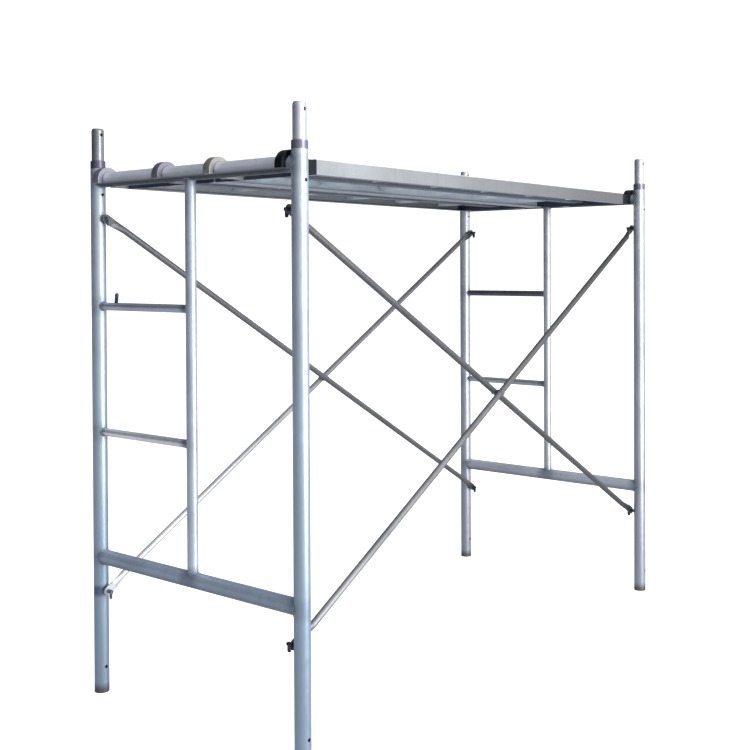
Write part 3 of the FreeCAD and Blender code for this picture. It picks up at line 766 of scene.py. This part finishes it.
WHITE = (1.0, 1.0, 1.0)
FLOOR_RADIUS = 40.0
FLOOR_PALE = (0.86, 0.87, 0.88)
FLOOR_PALEST = (0.90, 0.905, 0.91)
FLOOR_GREY = (0.62, 0.64, 0.68)      # what the object sees of the floor
FLOOR_GLOW = 0.80                    # only the camera sees this
BRIGHT_SIDE = Vector((0.25, -0.92, 0.38)).normalized()
# From the dark side of the studio to the bright one: share of the way, and the light from there.
WORLD_STOPS = [(0.15, (0.05, 0.055, 0.065)), (0.48, (0.22, 0.235, 0.255)), (0.82, WHITE)]
WORLD_STRENGTH = 1.3
# Name, place, target, width, height, watts and colour.
AREA_LIGHTS = [
    ("key", (-0.6, -6.5, 3.0), (0, 0, 0.9), 3.0, 3.0, 260, WHITE),
    ("low", (0.2, -4.2, 0.4), (0, 0, 1.5), 2.5, 0.6, 80, (0.93, 0.96, 1.0)),
]


def seen_by_camera(tree):
    return tree.nodes.new("ShaderNodeLightPath").outputs["Is Camera Ray"]


def make_floor():
    """A wide floor that is pale to the camera and a mid grey to the object."""
    mesh = bpy.data.meshes.new("studio_floor")
    shape = bmesh.new()
    bmesh.ops.create_circle(shape, cap_ends=True, segments=64, radius=FLOOR_RADIUS)
    shape.to_mesh(mesh)
    shape.free()
    floor = bpy.data.objects.new("studio_floor", mesh)
    bpy.context.collection.objects.link(floor)
    graph = Graph("studio_floor")
    seen = seen_by_camera(graph.tree)
    pale = graph.mix(graph.noise(2.0), FLOOR_PALE, FLOOR_PALEST)
    graph.feed(graph.shader.inputs["Base Color"], graph.mix(seen, FLOOR_GREY, pale))
    graph.shader.inputs["Roughness"].default_value = 0.9
    graph.shader.inputs["Emission Color"].default_value = rgba(WHITE)
    graph.feed(graph.shader.inputs["Emission Strength"], graph.maths("MULTIPLY", seen, FLOOR_GLOW))
    mesh.materials.append(graph.material)


def area_light(name, place, target, width, height, watts, colour):
    data = bpy.data.lights.new(name, "AREA")
    data.shape = "RECTANGLE"
    data.size = width
    data.size_y = height
    data.energy = watts
    data.color = colour
    light = bpy.data.objects.new(name, data)
    light.location = place
    light.rotation_euler = (Vector(target) - Vector(place)).to_track_quat("-Z", "Y").to_euler()
    bpy.context.collection.objects.link(light)


def make_world():
    """White behind the object, and light that comes mostly from the bright side of the studio."""
    world = bpy.data.worlds.new("studio")
    world.use_nodes = True
    tree = world.node_tree
    background = tree.nodes["Background"]
    coordinates = tree.nodes.new("ShaderNodeTexCoord")
    towards = tree.nodes.new("ShaderNodeVectorMath")
    towards.operation = "DOT_PRODUCT"
    tree.links.new(coordinates.outputs["Generated"], towards.inputs[0])
    towards.inputs[1].default_value = BRIGHT_SIDE
    ramp = tree.nodes.new("ShaderNodeValToRGB")
    share = tree.nodes.new("ShaderNodeMapRange")
    tree.links.new(towards.outputs["Value"], share.inputs["Value"])
    share.inputs["From Min"].default_value = -1.0
    tree.links.new(share.outputs["Result"], ramp.inputs["Fac"])
    elements = ramp.color_ramp.elements
    elements.new(0.5)
    for element, (place, colour) in zip(elements, WORLD_STOPS):
        element.position = place
        element.color = rgba(colour)
    choice = tree.nodes.new("ShaderNodeMix")
    choice.data_type = "RGBA"
    tree.links.new(seen_by_camera(tree), choice.inputs["Factor"])
    tree.links.new(ramp.outputs["Color"], choice.inputs["A"])
    choice.inputs["B"].default_value = rgba(WHITE)
    tree.links.new(choice.outputs["Result"], background.inputs["Color"])
    background.inputs["Strength"].default_value = WORLD_STRENGTH
    bpy.context.scene.world = world


def make_light():
    make_world()
    for light in AREA_LIGHTS:
        area_light(*light)
    bpy.context.scene.view_settings.view_transform = "Standard"


CAMERA_PLACE = (-3.2774, -2.4988, 1.3895)
CAMERA_YAW = math.radians(38.904)
CAMERA_PITCH = math.radians(-0.722)
CAMERA_ROLL = math.radians(-0.276)
CAMERA_LENS = 52.226
CAMERA_SENSOR = 36.0
CAMERA_SHIFT_Y = -0.1245


def make_camera():
    data = bpy.data.cameras.new("camera")
    data.sensor_width = CAMERA_SENSOR
    data.lens = CAMERA_LENS
    data.shift_y = CAMERA_SHIFT_Y
    camera = bpy.data.objects.new("camera", data)
    forward = Vector((math.cos(CAMERA_PITCH) * math.cos(CAMERA_YAW),
                      math.cos(CAMERA_PITCH) * math.sin(CAMERA_YAW),
                      math.sin(CAMERA_PITCH)))
    level_right = forward.cross(Z_AXIS).normalized()
    level_up = level_right.cross(forward)
    right = level_right * math.cos(CAMERA_ROLL) + level_up * math.sin(CAMERA_ROLL)
    up = right.cross(forward)
    turned = Matrix((right, up, -forward)).transposed().to_4x4()
    camera.matrix_world = Matrix.Translation(CAMERA_PLACE) @ turned
    bpy.context.collection.objects.link(camera)
    bpy.context.scene.camera = camera


make_camera()
make_floor()
make_light()
frame_finishes()
other_finishes()
make_pieces()
refine_cad_parts()

bpy.context.view_layer.update()
